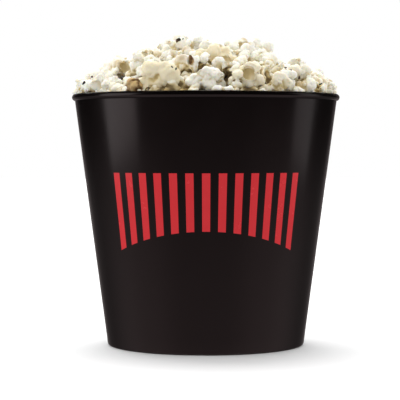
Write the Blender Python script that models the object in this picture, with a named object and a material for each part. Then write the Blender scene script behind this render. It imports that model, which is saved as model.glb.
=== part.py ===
"""A tapered plastic bucket with a beaded rim, heaped with popcorn.

Units are metres and +Z is up. The origin is the centre of the bucket's foot, on the surface that it
stands on, and the printed front faces -Y. The popcorn is one solid: a plain core that fills the bucket,
with the popped flakes that show fused on to it.
"""

import math
import random

import bmesh
import bpy
from mathutils import Matrix, Quaternion, Vector

MM = 0.001

# Bucket
HEIGHT = 178 * MM
RIM_RADIUS = 95 * MM
FOOT_LINE_RADIUS = 69.8 * MM  # where the wall's outer line meets the floor
WALL_SLOPE = 0.1334  # outward run of the wall for each unit of height
WALL = 1.5 * MM
FLOOR = 2.0 * MM
FOOT_RING = 5 * MM
FOOT_RECESS = 0.8 * MM
FOOT_ROUND = 2.0 * MM
FOOT_STEPS = 3
BEAD_HEIGHT = 4.8 * MM
BEAD_FLAT = 1.1 * MM  # flat land on top of the rim
BEAD_ARC = (-80, 62)  # degrees from outwards: from where the bead's round leaves the wall to its land
BEAD_STEPS = 7
EDGE_ROUND = 0.6 * MM  # at the rim's inner edge
INSIDE_CORNER = 1.6 * MM  # how far in the wall turns into the floor
BUCKET_SIDES = 72
SHARP_ANGLE = math.radians(35)
PLASTIC_COLOUR = (0.012, 0.010, 0.010)
PLASTIC_ROUGHNESS = 0.22

# Heap
GAP = 0.3 * MM  # between popcorn and plastic
CORE_SIDES = 36
RIM_CROWN = 11.5 * MM  # how far the heap stands above the rim at its edge
MIDDLE_CROWN = 26.5 * MM  # how much further it rises in the middle
CROWN_RADIUS = 93 * MM
CORE_DEPTH = 15 * MM  # from the heap's outline down to the core, in the middle
CORE_DROP = 4 * MM  # how much deeper the core lies at its edge
CORE_SHOULDER = 8 * MM  # from the rim down to where the core leaves the wall
CORE_RINGS = (86 * MM, 72 * MM, 54 * MM, 30 * MM, 0.0)
HEAP_SWELLS = (  # x, y, height, width and depth of the heap's uneven places
    (-17 * MM, 0.0, 5.5 * MM, 12 * MM, 16 * MM),
    (34 * MM, 0.0, 6.5 * MM, 12 * MM, 16 * MM),
    (54 * MM, 0.0, -9.0 * MM, 13 * MM, 60 * MM),
    (-60 * MM, 10 * MM, -5.0 * MM, 14 * MM, 60 * MM),
    (-84 * MM, 0.0, -5.0 * MM, 12 * MM, 40 * MM),
    (84 * MM, 0.0, -4.0 * MM, 14 * MM, 40 * MM),
    (10 * MM, 50 * MM, -3.0 * MM, 20 * MM, 20 * MM),
)

# Flakes
FLAKE_COUNT = 96
FLAKE_FORMS = 9
FLAKE_TRIES = 60  # places tried for each flake, of which the emptiest is kept
FLAKE_EDGE = 87 * MM  # no flake's middle is further out
FRONT_LIMIT = -70 * MM  # in front of this, only the flakes at the front that are listed below
FLAKE_REACH_LIMIT = 93.4 * MM  # no flake reaches further out
FLAKE_SIZES = (0.92, 1.26)
FLAKE_JITTER = 2.5 * MM  # how far a flake's top may be from the heap's outline
FORM_FACES = 46
FORM_SWELL = 1.05  # makes up for what the thinning takes off
BODY_RADIUS = (4.2 * MM, 5.0 * MM)
PETAL_COUNTS = (3, 4, 4, 5)
PETAL_TURN = 0.35  # radians that a petal may be away from its even place round the body
PETAL_LIFT = (-0.25, 0.75)  # rise of a petal for each unit of its length
PETAL_OUT = (5.2 * MM, 6.9 * MM)  # from the body's middle to the petal's
PETAL_LENGTH = (4.5 * MM, 6.2 * MM)
PETAL_WIDTH = (0.95, 1.3)  # shares of the petal's length
PETAL_THICKNESS = (0.52, 0.74)
PETAL_LEAN = 0.9  # radians that a petal may be turned about its own length
CROWN_SHIFT = 2.0 * MM  # of the lobe on top, off the middle
CROWN_UP = 4.8 * MM
CROWN_LOBE = (3.9 * MM, 5.1 * MM)
CLEARANCE_DEPTH = 40 * MM  # how far below the rim the popcorn is kept off the wall
CLEARANCE_REACH = 20 * MM
FRONT_FLAKES = (  # x, y, height of the top above the rim, size, form and turn of the flakes at the front
    (-12.5 * MM, 0.0, 43.5 * MM, 1.30, 0, 6),
    (36 * MM, 0.0, 39.5 * MM, 1.15, 2, 8),
    (6 * MM, -46 * MM, 33.5 * MM, 1.30, 1, 4),
    (-31 * MM, -72 * MM, 20 * MM, 1.34, 6, 9),
    (0.0, -80 * MM, 16 * MM, 1.32, 5, 8),
    (26 * MM, -75 * MM, 20 * MM, 1.22, 0, 8),
    (48 * MM, -72 * MM, 12.5 * MM, 1.05, 8, 6),
    (67 * MM, -55 * MM, 12.5 * MM, 1.05, 3, 11),
    (84 * MM, -22 * MM, 14 * MM, 0.95, 0, 11),
    (-84 * MM, -11 * MM, 16 * MM, 1.05, 4, 4),
    (-69 * MM, -53 * MM, 12.5 * MM, 1.00, 5, 4),
    (-52 * MM, -70 * MM, 9.5 * MM, 1.00, 3, 4),
    (-61 * MM, -34 * MM, 26 * MM, 1.10, 7, 11),
    (-47 * MM, -9 * MM, 33 * MM, 1.10, 2, 6),
    (-29 * MM, 0.0, 37.5 * MM, 1.15, 5, 8),
    (60 * MM, -18 * MM, 26 * MM, 1.10, 6, 4),
)
HEAP_SEED = 41
FORM_SEED = 700
TURN_SEED = 300  # the number of a front flake's turn is added to it
POPCORN_COLOUR = (0.80, 0.74, 0.58)
POPCORN_ROUGHNESS = 0.75


def wall_radius(z: float) -> float:
    """Outer radius of the bucket's wall at height z."""
    return FOOT_LINE_RADIUS + WALL_SLOPE * z


def inner_radius(z: float) -> float:
    """Inner radius of the bucket's wall at height z."""
    return wall_radius(z) - WALL


def arc(centre: tuple[float, float], radius: float, start: float, end: float, steps: int) -> list:
    """Points of an arc in the (r, z) plane, with angles in degrees from +r towards +z."""
    angles = [math.radians(start + (end - start) * k / steps) for k in range(steps + 1)]
    return [(centre[0] + radius * math.cos(a), centre[1] + radius * math.sin(a)) for a in angles]


def turned_mesh(name: str, outline: list, sides: int, closed: bool = False) -> bpy.types.Mesh:
    """Turns an outline of (r, z) points round the Z axis into a closed mesh."""
    bm = bmesh.new()
    verts = [bm.verts.new((r, 0.0, z)) for r, z in outline]
    pairs = list(zip(verts, verts[1:]))
    if closed:
        pairs.append((verts[-1], verts[0]))
    edges = [bm.edges.new(pair) for pair in pairs]
    bmesh.ops.spin(
        bm,
        geom=verts + edges,
        cent=(0, 0, 0),
        axis=(0, 0, 1),
        dvec=(0, 0, 0),
        angle=math.tau,
        steps=sides,
        use_merge=True,
    )
    bmesh.ops.remove_doubles(bm, verts=bm.verts, dist=1e-6)
    bmesh.ops.recalc_face_normals(bm, faces=bm.faces)
    mesh = bpy.data.meshes.new(name)
    bm.to_mesh(mesh)
    bm.free()
    return mesh


def material(name: str, colour: tuple, roughness: float) -> bpy.types.Material:
    """A plain Principled material."""
    made = bpy.data.materials.new(name)
    made.use_nodes = True
    shader = made.node_tree.nodes["Principled BSDF"]
    shader.inputs["Base Color"].default_value = (*colour, 1.0)
    shader.inputs["Roughness"].default_value = roughness
    shader.inputs["Metallic"].default_value = 0.0
    return made


def add_object(name: str, mesh: bpy.types.Mesh, collection: bpy.types.Collection) -> bpy.types.Object:
    """Links a new object with this mesh."""
    made = bpy.data.objects.new(name, mesh)
    collection.objects.link(made)
    return made


def bucket_outline() -> list:
    """Half section of the bucket, from the middle of its underside, up the outside and down the inside."""
    foot_outer = wall_radius(FOOT_ROUND) - FOOT_ROUND
    bead_low = HEIGHT - BEAD_HEIGHT
    bead_radius = BEAD_HEIGHT / 2
    bead_centre = (RIM_RADIUS - bead_radius, HEIGHT - bead_radius)
    rim_inner = inner_radius(HEIGHT)
    inside_floor = FOOT_RECESS + FLOOR
    outline = [
        (0.0, FOOT_RECESS),
        (foot_outer - FOOT_RING - FOOT_RECESS, FOOT_RECESS),
        (foot_outer - FOOT_RING, 0.0),
    ]
    wall_tilt = math.degrees(math.atan(WALL_SLOPE))
    outline += arc((foot_outer, FOOT_ROUND), FOOT_ROUND, -90, -wall_tilt, FOOT_STEPS)
    outline.append((wall_radius(bead_low), bead_low))
    outline += arc(bead_centre, bead_radius, *BEAD_ARC, BEAD_STEPS)
    outline.append((rim_inner + BEAD_FLAT, HEIGHT))
    outline.append((rim_inner + EDGE_ROUND, HEIGHT))
    outline.append((inner_radius(HEIGHT - EDGE_ROUND), HEIGHT - EDGE_ROUND))
    outline.append((inner_radius(inside_floor + FOOT_ROUND), inside_floor + FOOT_ROUND))
    outline += [(inner_radius(inside_floor) - INSIDE_CORNER, inside_floor), (0.0, inside_floor)]
    return outline


def heap_height(x: float, y: float) -> float:
    """Height of the heap's outline above the rim, over the point x, y."""
    share = min(1.0, math.hypot(x, y) / CROWN_RADIUS)
    swell = 0.0
    for middle_x, middle_y, height, width, depth in HEAP_SWELLS:
        off = ((x - middle_x) / width) ** 2 + ((y - middle_y) / depth) ** 2
        swell += height * math.exp(-off)
    return RIM_CROWN + MIDDLE_CROWN * (1 - share**2) + swell


def core_mesh() -> bpy.types.Mesh:
    """The plain core: what lies inside the bucket, with a low mound on top."""
    low = FOOT_RECESS + FLOOR + GAP
    shoulder = HEIGHT - CORE_SHOULDER
    side_share = math.cos(math.pi / BUCKET_SIDES)
    slack = GAP / side_share + inner_radius(HEIGHT) * (1 - side_share)
    outline = [(0.0, low), (inner_radius(low) - FOOT_ROUND - slack, low)]
    outline.append((inner_radius(low + FOOT_ROUND) - slack, low + FOOT_ROUND))
    outline.append((inner_radius(shoulder) - slack, shoulder))
    for radius in CORE_RINGS:
        share = radius / CROWN_RADIUS
        crown = RIM_CROWN + MIDDLE_CROWN * (1 - share**2)
        outline.append((radius, HEIGHT + crown - CORE_DEPTH - CORE_DROP * share**4))
    return turned_mesh("popcorn", outline, CORE_SIDES)


def flake_lobes(form: int) -> list[Matrix]:
    """The rounded lobes of one form of popped flake, whose body is at the origin.

    Each lobe is the placement of a ball of radius 1: its Z axis runs outwards along the petal and its Y axis
    through the petal's thickness.
    """
    draw = random.Random(FORM_SEED + form)
    lobes = [Matrix.Scale(draw.uniform(*BODY_RADIUS), 4)]
    count = draw.choice(PETAL_COUNTS)
    start = draw.uniform(0, math.tau)
    for k in range(count):
        turn = start + math.tau * k / count + draw.uniform(-PETAL_TURN, PETAL_TURN)
        lift = draw.uniform(*PETAL_LIFT)
        flat = math.sqrt(1 - lift**2)
        way = Vector((flat * math.cos(turn), flat * math.sin(turn), lift))
        length = draw.uniform(*PETAL_LENGTH)
        width = length * draw.uniform(*PETAL_WIDTH)
        thickness = length * draw.uniform(*PETAL_THICKNESS)
        lean = Matrix.Rotation(draw.uniform(-PETAL_LEAN, PETAL_LEAN), 4, way)
        outwards = way.to_track_quat("Z", "Y").to_matrix().to_4x4()
        middle = Matrix.Translation(way * draw.uniform(*PETAL_OUT))
        lobes.append(middle @ lean @ outwards @ Matrix.Diagonal((width, thickness, length, 1.0)))
    across = (draw.uniform(-CROWN_SHIFT, CROWN_SHIFT) for _ in range(2))
    top = Matrix.Translation((*across, CROWN_UP))
    lobes.append(top @ Matrix.Scale(draw.uniform(*CROWN_LOBE), 4))
    return lobes


def reach(lobes: list[Matrix], way: Vector) -> float:
    """How far the lobes' outer skin lies from the flake's middle in one direction."""
    furthest = 0.0
    for lobe in lobes:
        back = lobe.inverted()
        step, start = back.to_3x3() @ way, -back.translation
        along = step.dot(start)
        inside = along**2 - step.length_squared * (start.length_squared - 1)
        if inside > 0:
            furthest = max(furthest, (along + math.sqrt(inside)) / step.length_squared)
    return furthest


def form_mesh(form: int) -> bpy.types.Mesh:
    """One form of flake: a ball whose points are pushed out to the skin of its lobes, with few faces."""
    lobes = flake_lobes(form)
    bm = bmesh.new()
    bmesh.ops.create_icosphere(bm, subdivisions=3, radius=1.0)
    for vert in bm.verts:
        vert.co = vert.co.normalized() * reach(lobes, vert.co.normalized()) * FORM_SWELL
    mesh = bpy.data.meshes.new(f"flake_form_{form}")
    bm.to_mesh(mesh)
    faces = len(bm.faces)
    bm.free()
    return thinned(mesh, FORM_FACES / faces)


def thinned(mesh: bpy.types.Mesh, ratio: float) -> bpy.types.Mesh:
    """The same shape with this share of its faces."""
    holder = add_object("thinning", mesh, bpy.context.scene.collection)
    thinning = holder.modifiers.new("fewer_faces", "DECIMATE")
    thinning.ratio = ratio
    made = evaluated_mesh(holder)
    bpy.data.objects.remove(holder)
    return made


def evaluated_mesh(obj: bpy.types.Object) -> bpy.types.Mesh:
    """A new mesh of the object with its modifiers applied."""
    graph = bpy.context.evaluated_depsgraph_get()
    graph.update()
    return bpy.data.meshes.new_from_object(obj.evaluated_get(graph))


def random_place(draw: random.Random, taken: list[Vector]) -> Vector:
    """A place on the mound for the top of one more flake: the emptiest of several random ones."""
    tried = []
    for _ in range(FLAKE_TRIES):
        radius = FLAKE_EDGE * math.sqrt(draw.random())
        turn = draw.uniform(0, math.tau)
        spot = Vector((radius * math.cos(turn), radius * math.sin(turn), 0.0))
        spot.z = heap_height(spot.x, spot.y) + draw.uniform(-FLAKE_JITTER, FLAKE_JITTER)
        if spot.y > FRONT_LIMIT:
            tried.append(spot)
    return max(tried, key=lambda spot: min((spot - other).length for other in taken))


def random_turn(draw: random.Random) -> Quaternion:
    """A turn about any direction."""
    return Quaternion([draw.gauss(0, 1) for _ in range(4)]).normalized()


def settled(spot: Vector, placement: Matrix, form: int) -> Matrix:
    """The flake's placement moved to its spot, its top at the spot's height and inside the furthest reach."""
    spans = []
    for lobe in flake_lobes(form):
        placed = placement @ lobe
        spans.append((placed.translation, Vector([row.length for row in placed.to_3x3()])))
    high = [max(middle[axis] + span[axis] for middle, span in spans) for axis in range(3)]
    low = [min(middle[axis] - span[axis] for middle, span in spans) for axis in range(2)]
    shift = Vector((-(high[0] + low[0]) / 2, -(high[1] + low[1]) / 2, HEIGHT + spot.z - high[2]))
    lobes = [Matrix.Translation(shift) @ placement @ lobe for lobe in flake_lobes(form)]
    out = Vector((spot.x, spot.y, 0)).normalized()
    along = Vector((spot.x, spot.y, 0)).length
    for _ in range(3):
        furthest = 0.0
        for lobe in lobes:
            middle = (out * along + lobe.translation).xy
            across = lobe.to_3x3().transposed() @ middle.normalized().to_3d()
            furthest = max(furthest, middle.length + across.length)
        along -= max(0.0, furthest - FLAKE_REACH_LIMIT)
    return Matrix.Translation(out * along + shift) @ placement


def flake_places() -> list[tuple[int, Matrix]]:
    """Form and placement of each flake that shows: those at the front, then the rest by a seeded draw."""
    draw = random.Random(HEAP_SEED)
    spots, sizes, looks = [], [], []
    for x, y, top, size, form, turn in FRONT_FLAKES:
        spots.append(Vector((x, y, top)))
        sizes.append(size)
        looks.append((form, random_turn(random.Random(TURN_SEED + turn))))
    while len(spots) < FLAKE_COUNT:
        spots.append(random_place(draw, spots))
        sizes.append(draw.uniform(*FLAKE_SIZES))
    looks += [(k % FLAKE_FORMS, random_turn(draw)) for k in range(len(looks), FLAKE_COUNT)]
    places = []
    for spot, size, (form, turn) in zip(spots, sizes, looks):
        turned = Matrix.LocRotScale(None, turn, Vector((size, size, size)))
        places.append((form, settled(spot, turned, form)))
    return places


def rim_clearance_mesh() -> bpy.types.Mesh:
    """A ring round the wall and over the rim, a gap larger than they are, that the popcorn stays out of."""
    low = HEIGHT - CLEARANCE_DEPTH
    far = RIM_RADIUS + CLEARANCE_REACH
    slack = GAP + inner_radius(HEIGHT) * (1 - math.cos(math.pi / BUCKET_SIDES))
    outline = [
        (inner_radius(low) - slack, low),
        (far, low),
        (far, HEIGHT + GAP),
        (inner_radius(HEIGHT) - slack, HEIGHT + GAP),
    ]
    return turned_mesh("rim_clearance", outline, BUCKET_SIDES, closed=True)


def keep_outer_shell(mesh: bpy.types.Mesh) -> None:
    """Drops every loose scrap, and every inner shell, which fills the hollow that it bounds."""
    bm = bmesh.new()
    bm.from_mesh(mesh)
    bmesh.ops.triangulate(bm, faces=bm.faces)
    left = set(bm.faces)
    shells = []
    while left:
        seed = left.pop()
        shell, edge_of_shell = {seed}, [seed]
        while edge_of_shell:
            face = edge_of_shell.pop()
            for edge in face.edges:
                for other in edge.link_faces:
                    if other in left:
                        left.discard(other)
                        shell.add(other)
                        edge_of_shell.append(other)
        shells.append(shell)
    shells.sort(key=len)
    for shell in shells[:-1]:
        bmesh.ops.delete(bm, geom=list(shell), context="FACES")
    bm.to_mesh(mesh)
    bm.free()


def boolean(obj: bpy.types.Object, operation: str, collection: bpy.types.Collection) -> None:
    """Joins the collection to the object, or cuts it away, and removes the collection's objects."""
    modifier = obj.modifiers.new(operation.lower(), "BOOLEAN")
    modifier.operation = operation
    modifier.operand_type = "COLLECTION"
    modifier.collection = collection
    modifier.solver = "MANIFOLD"
    obj.data = evaluated_mesh(obj)
    obj.modifiers.clear()
    for used in list(collection.objects):
        bpy.data.objects.remove(used)
    bpy.data.collections.remove(collection)


def new_collection(name: str) -> bpy.types.Collection:
    """An empty collection in the scene."""
    made = bpy.data.collections.new(name)
    bpy.context.scene.collection.children.link(made)
    return made


def build_bucket() -> bpy.types.Object:
    """The moulded bucket, in one piece with its rim."""
    shell = turned_mesh("bucket", bucket_outline(), BUCKET_SIDES)
    bucket = add_object("bucket", shell, bpy.context.scene.collection)
    bucket.data.shade_smooth()
    bucket.data.set_sharp_from_angle(angle=SHARP_ANGLE)
    bucket.data.materials.append(material("black_plastic", PLASTIC_COLOUR, PLASTIC_ROUGHNESS))
    return bucket


def build_popcorn() -> bpy.types.Object:
    """The heap: its core with the flakes that show fused on, clear of the bucket."""
    popcorn = add_object("popcorn", core_mesh(), bpy.context.scene.collection)
    forms = [form_mesh(form) for form in range(FLAKE_FORMS)]
    flakes = new_collection("flakes")
    for k, (form, placement) in enumerate(flake_places()):
        flake = add_object(f"flake_{k}", forms[form], flakes)
        flake.matrix_world = placement
    boolean(popcorn, "UNION", flakes)
    cutters = new_collection("cutters")
    add_object("rim_clearance", rim_clearance_mesh(), cutters)
    boolean(popcorn, "DIFFERENCE", cutters)
    keep_outer_shell(popcorn.data)
    popcorn.data.materials.clear()
    popcorn.data.materials.append(material("popped_corn", POPCORN_COLOUR, POPCORN_ROUGHNESS))
    return popcorn


def main() -> None:
    """Clears the scene and builds both pieces."""
    for old in list(bpy.data.objects):
        bpy.data.objects.remove(old)
    build_bucket()
    build_popcorn()


main()
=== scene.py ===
"""Looks for a plastic bucket heaped with popcorn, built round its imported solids.

Units are metres, +Z is up and the printed front faces -Y. The bucket is turned again with a fine section,
its front carries a panel of red stripes, and the heap is made of popped flakes that lie in the places where
the solids have their plain ones.
"""

import logging
import math
import random
from collections.abc import Callable
from dataclasses import dataclass, field
from enum import Enum
from typing import NamedTuple

import bmesh
import bpy
import numpy as np
from bmesh.types import BMesh
from bpy.types import ID, Material, Mesh, NodeSocket, Object
from mathutils import Matrix, Quaternion, Vector, noise


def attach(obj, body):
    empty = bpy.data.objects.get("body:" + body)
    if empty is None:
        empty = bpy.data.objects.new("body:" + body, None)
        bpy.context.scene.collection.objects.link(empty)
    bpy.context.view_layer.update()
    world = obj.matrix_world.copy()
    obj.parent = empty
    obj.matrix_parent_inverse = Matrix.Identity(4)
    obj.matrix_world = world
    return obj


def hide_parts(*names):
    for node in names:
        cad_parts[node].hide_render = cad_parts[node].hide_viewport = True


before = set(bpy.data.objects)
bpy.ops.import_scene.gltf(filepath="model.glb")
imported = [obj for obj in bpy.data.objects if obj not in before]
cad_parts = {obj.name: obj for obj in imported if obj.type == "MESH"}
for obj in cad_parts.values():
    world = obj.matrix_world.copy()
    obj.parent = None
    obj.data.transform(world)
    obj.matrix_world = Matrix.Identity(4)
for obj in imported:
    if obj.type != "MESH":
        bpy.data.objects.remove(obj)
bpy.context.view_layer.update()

MM = 0.001
WELD = 1e-6
TINY = 1e-9
CREASE = math.radians(40)
BODY = "root"
Pair = tuple[float, float]
Colour = tuple[float, float, float]
Places = float | np.ndarray


def operator(name: str, swapped: bool = False) -> Callable[["Wire", "Wire | float"], "Wire"]:
    """The method for one operator on wires.

    Args:
        name: the Math node's operation.
        swapped: whether the other value comes first.

    Returns:
        A method that adds the Math node.
    """

    def method(self: "Wire", other: "Wire | float") -> "Wire":
        """Adds one Math node and wires its two values."""
        first, second = (other, self) if swapped else (self, other)
        return self.graph.node("ShaderNodeMath", {"operation": name}, {0: first, 1: second})[0]

    return method


class Wire:
    """A shader socket that adds a Math node for each operator used on it."""

    __add__ = operator("ADD")
    __radd__ = operator("ADD", swapped=True)
    __sub__ = operator("SUBTRACT")
    __rsub__ = operator("SUBTRACT", swapped=True)
    __mul__ = operator("MULTIPLY")
    __rmul__ = operator("MULTIPLY", swapped=True)
    __truediv__ = operator("DIVIDE")
    __pow__ = operator("POWER")

    def __init__(self, graph: "Graph", socket: NodeSocket) -> None:
        """Keeps the graph that new nodes go into, and the socket."""
        self.graph = graph
        self.socket = socket

    def step(self, low: float, high: float) -> "Wire":
        """A smooth step from 0 at low to 1 at high."""
        settings = {"interpolation_type": "SMOOTHSTEP"}
        return self.graph.node("ShaderNodeMapRange", settings, {"Value": self, 1: low, 2: high})[0]


class Graph:
    """The node tree of a material or of the world, with one method that makes every node."""

    def __init__(self, owner: ID) -> None:
        """Empties the node tree of a material or a world."""
        owner.use_nodes = True
        self.owner = owner
        self.tree = owner.node_tree
        self.tree.nodes.clear()

    @classmethod
    def of_material(cls, name: str) -> "Graph":
        """The empty graph of a new material."""
        return cls(bpy.data.materials.new(name))

    def node(self, kind: str, settings: dict | None = None, values: dict | None = None) -> list[Wire]:
        """Adds a node of any type.

        Args:
            kind: the node's type.
            settings: its own settings, such as its operation.
            values: a number, colour or wire for each input, by name or number.

        Returns:
            A wire for each output.
        """
        made = self.tree.nodes.new(kind)
        for name, value in (settings or {}).items():
            setattr(made, name, value)
        for name, value in (values or {}).items():
            if isinstance(value, Wire):
                self.tree.links.new(value.socket, made.inputs[name])
            else:
                made.inputs[name].default_value = value
        return [Wire(self, output) for output in made.outputs]

    def place(self) -> Wire:
        """The surface point in the object's own coordinates."""
        return self.node("ShaderNodeTexCoord")[3]

    def noise(self, size: float, detail: float, roughness: float = 0.5) -> Wire:
        """Smooth noise from 0 to 1, by its width, its number of finer layers and their strength."""
        values = {"Vector": self.place(), "Scale": 1 / size, "Detail": detail, "Roughness": roughness}
        return self.node("ShaderNodeTexNoise", {}, values)[0]

    def mix(self, share: Wire, first: Wire | Colour, second: Wire | Colour) -> Wire:
        """A blend of two colours.

        Args:
            share: how much of the second colour there is.
            first: a colour or a wire.
            second: a colour or a wire.

        Returns:
            The blended colour.
        """
        first, second = (c if isinstance(c, Wire) else (*c, 1.0) for c in (first, second))
        settings = {"data_type": "RGBA", "clamp_factor": True}
        return self.node("ShaderNodeMix", settings, {0: share, 6: first, 7: second})[2]

    def bump(self, height: Wire, distance: float, strength: float = 1.0) -> Wire:
        """A surface normal disturbed by a height from 0 to 1, where 1 is this deep in metres."""
        values = {"Height": height, "Distance": distance, "Strength": strength}
        return self.node("ShaderNodeBump", {}, values)[0]

    def finish(self, values: dict) -> Material:
        """Ends the material in a Principled shader.

        Args:
            values: a number, colour or wire for each of its inputs.

        Returns:
            The material.
        """
        shader = self.node("ShaderNodeBsdfPrincipled", {}, values)[0]
        self.node("ShaderNodeOutputMaterial", {}, {"Surface": shader})
        return self.owner


@dataclass(frozen=True)
class BucketPlastic:
    """Black injection-moulded plastic with a soft gloss and a trace of handling."""

    colour: Colour = (0.0018, 0.0009, 0.0009)
    paler: float = 1.5
    sheen: Colour = (1.0, 0.84, 0.85)
    gloss: float = 0.55
    roughness: float = 0.2
    cloud: float = 18 * MM
    grain: float = 0.5 * MM
    relief: float = 0.004 * MM

    def material(self) -> Material:
        """Mixes the plastic.

        Returns:
            Its material.
        """
        graph = Graph.of_material("bucket_plastic")
        cloud = graph.noise(self.cloud, 3.0)
        grain = graph.noise(self.grain, 1.0)
        return graph.finish(
            {
                "Base Color": graph.mix(cloud, self.colour, tuple(self.paler * c for c in self.colour)),
                "Roughness": self.roughness + 0.06 * (cloud - 0.5) + 0.03 * (grain - 0.5),
                "Specular IOR Level": self.gloss,
                "Specular Tint": (*self.sheen, 1.0),
                "Normal": graph.bump(grain, self.relief),
            }
        )


@dataclass(frozen=True)
class PrintInk:
    """Red screen ink on the plastic, slightly uneven and as glossy as the wall."""

    colour: Colour = (0.70, 0.020, 0.029)
    thin: float = 0.86
    gloss: float = 0.5
    roughness: float = 0.26
    cloud: float = 7 * MM
    grain: float = 0.35 * MM
    relief: float = 0.006 * MM

    def material(self) -> Material:
        """Mixes the ink.

        Returns:
            Its material.
        """
        graph = Graph.of_material("print_ink")
        cloud = graph.noise(self.cloud, 3.0)
        grain = graph.noise(self.grain, 1.0)
        thin = tuple(self.thin * c for c in self.colour)
        return graph.finish(
            {
                "Base Color": graph.mix(0.7 * cloud + 0.3 * grain, thin, self.colour),
                "Roughness": self.roughness + 0.08 * (cloud - 0.5),
                "Specular IOR Level": self.gloss,
                "Normal": graph.bump(grain, self.relief),
            }
        )


@dataclass(frozen=True)
class PoppedStarch:
    """Puffed starch: white to cream, tan at the heart, hull-stained underneath, with painted shade in
    creases.

    It reads the colour attribute "tone": red is the heart's tan with painted crease shade, and above 1 it is
    painted shade low in the heap; green is how yellow its flake is, and blue how near the hull is.
    """

    white: Colour = (0.93, 0.915, 0.83)
    cream: Colour = (0.89, 0.80, 0.58)
    # The real tan of the heart, which also serves as painted shade in creases.
    tan_and_crease_shade: Colour = (0.60, 0.45, 0.16)
    # Painted shade: dark brown for the starch low between the flakes and in the core.
    deep: Colour = (0.13, 0.08, 0.022)
    stain: Colour = (0.50, 0.33, 0.10)
    tan_and_shade_from: Pair = (0.5, 1.1)
    deep_shade_from: Pair = (0.95, 1.5)
    patch: float = 6 * MM
    pore: float = 0.55 * MM
    relief: float = 0.35 * MM
    gloss: float = 0.35
    roughness: float = 0.6
    glow: float = 0.25
    glow_colour: Colour = (1.0, 0.75, 0.4)
    depth: float = 2.0 * MM

    def material(self) -> Material:
        """Mixes the starch.

        Returns:
            Its material.
        """
        graph = Graph.of_material("popped_starch")
        tone = graph.node("ShaderNodeAttribute", {"attribute_name": "tone"})[0]
        tan_and_shade, yellow, hull = graph.node("ShaderNodeSeparateColor", {}, {0: tone})
        patch = graph.noise(self.patch, 3.0)
        pore = graph.noise(self.pore, 3.0, 0.6)
        colour = graph.mix(yellow + 0.7 * (patch - 0.5), self.white, self.cream)
        # Painted crease shade mixed with the real tan of the heart, then painted shade low in the heap.
        colour = graph.mix(0.8 * tan_and_shade.step(*self.tan_and_shade_from), colour, self.tan_and_crease_shade)
        colour = graph.mix(0.85 * tan_and_shade.step(*self.deep_shade_from), colour, self.deep)
        colour = graph.mix(hull * (0.5 + 0.8 * (patch - 0.5)), colour, self.stain)
        return graph.finish(
            {
                "Base Color": colour,
                "Roughness": self.roughness + 0.2 * (pore - 0.5),
                "Specular IOR Level": self.gloss,
                "Subsurface Weight": self.glow,
                "Subsurface Radius": self.glow_colour,
                "Subsurface Scale": self.depth,
                "Normal": graph.bump(0.6 * pore + 0.4 * patch, self.relief, 0.6),
            }
        )


class HullKind(Enum):
    """The two looks of what is left of a kernel's skin."""

    AMBER = "amber"
    DARK = "dark"


@dataclass(frozen=True)
class KernelHull:
    """Thin glossy kernel skin, in amber or, at the tip, nearly black."""

    kind: HullKind
    streak: float = 4 * MM
    relief: float = 0.15 * MM
    roughness: float = 0.32
    glow: float = 0.2
    depth: float = 1.5 * MM

    def colours(self) -> tuple[Colour, Colour]:
        """The dark and the light colour of this kind."""
        if self.kind is HullKind.AMBER:
            return (0.10, 0.045, 0.010), (0.62, 0.42, 0.19)
        return (0.010, 0.007, 0.005), (0.05, 0.026, 0.012)

    def material(self) -> Material:
        """Mixes the skin's finish.

        Returns:
            Its material.
        """
        graph = Graph.of_material(f"kernel_hull_{self.kind.value}")
        streak = graph.noise(self.streak, 2.0, 0.4)
        return graph.finish(
            {
                "Base Color": graph.mix(streak.step(0.35, 0.65), *self.colours()),
                "Roughness": self.roughness + 0.2 * (streak - 0.5),
                "Subsurface Weight": self.glow,
                "Subsurface Scale": self.depth,
                "Normal": graph.bump(streak, self.relief),
            }
        )


@dataclass(frozen=True)
class FloorPaint:
    """Matt pale studio floor."""

    colour: Colour = (0.865, 0.865, 0.865)
    dimmer: float = 0.99
    cloud: float = 0.2
    roughness: float = 0.9

    def material(self) -> Material:
        """Mixes the floor's finish.

        Returns:
            Its material.
        """
        graph = Graph.of_material("studio_floor")
        cloud = graph.noise(self.cloud, 2.0)
        return graph.finish(
            {
                "Base Color": graph.mix(cloud, self.colour, tuple(self.dimmer * c for c in self.colour)),
                "Roughness": self.roughness,
                "Specular IOR Level": 0.0,
            }
        )


def mesh_of(bm: BMesh, name: str) -> Mesh:
    """Writes a bmesh to a new smooth-shaded mesh and frees it.

    Args:
        bm: the finished bmesh.
        name: the mesh's name.

    Returns:
        The mesh.
    """
    mesh = bpy.data.meshes.new(name)
    bm.to_mesh(mesh)
    bm.free()
    mesh.shade_smooth()
    return mesh


def new_object(name: str, data: ID) -> Object:
    """Makes an object and links it to the scene.

    Args:
        name: the object's name.
        data: its mesh, light or camera.

    Returns:
        The object.
    """
    made = bpy.data.objects.new(name, data)
    bpy.context.scene.collection.objects.link(made)
    return made


def pour(bm: BMesh, mesh: Mesh) -> None:
    """Adds a mesh to a bmesh and removes it."""
    bm.from_mesh(mesh)
    bpy.data.meshes.remove(mesh)


def with_modifier(mesh: Mesh, kind: str, settings: dict) -> Mesh:
    """Applies one modifier to a mesh.

    Args:
        mesh: the mesh to start from.
        kind: the modifier's type.
        settings: its settings.

    Returns:
        A new mesh.
    """
    holder = new_object("holder", mesh)
    modifier = holder.modifiers.new(kind.lower(), kind)
    for name, value in settings.items():
        setattr(modifier, name, value)
    graph = bpy.context.evaluated_depsgraph_get()
    made = bpy.data.meshes.new_from_object(holder.evaluated_get(graph))
    bpy.data.objects.remove(holder)
    return made


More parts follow.
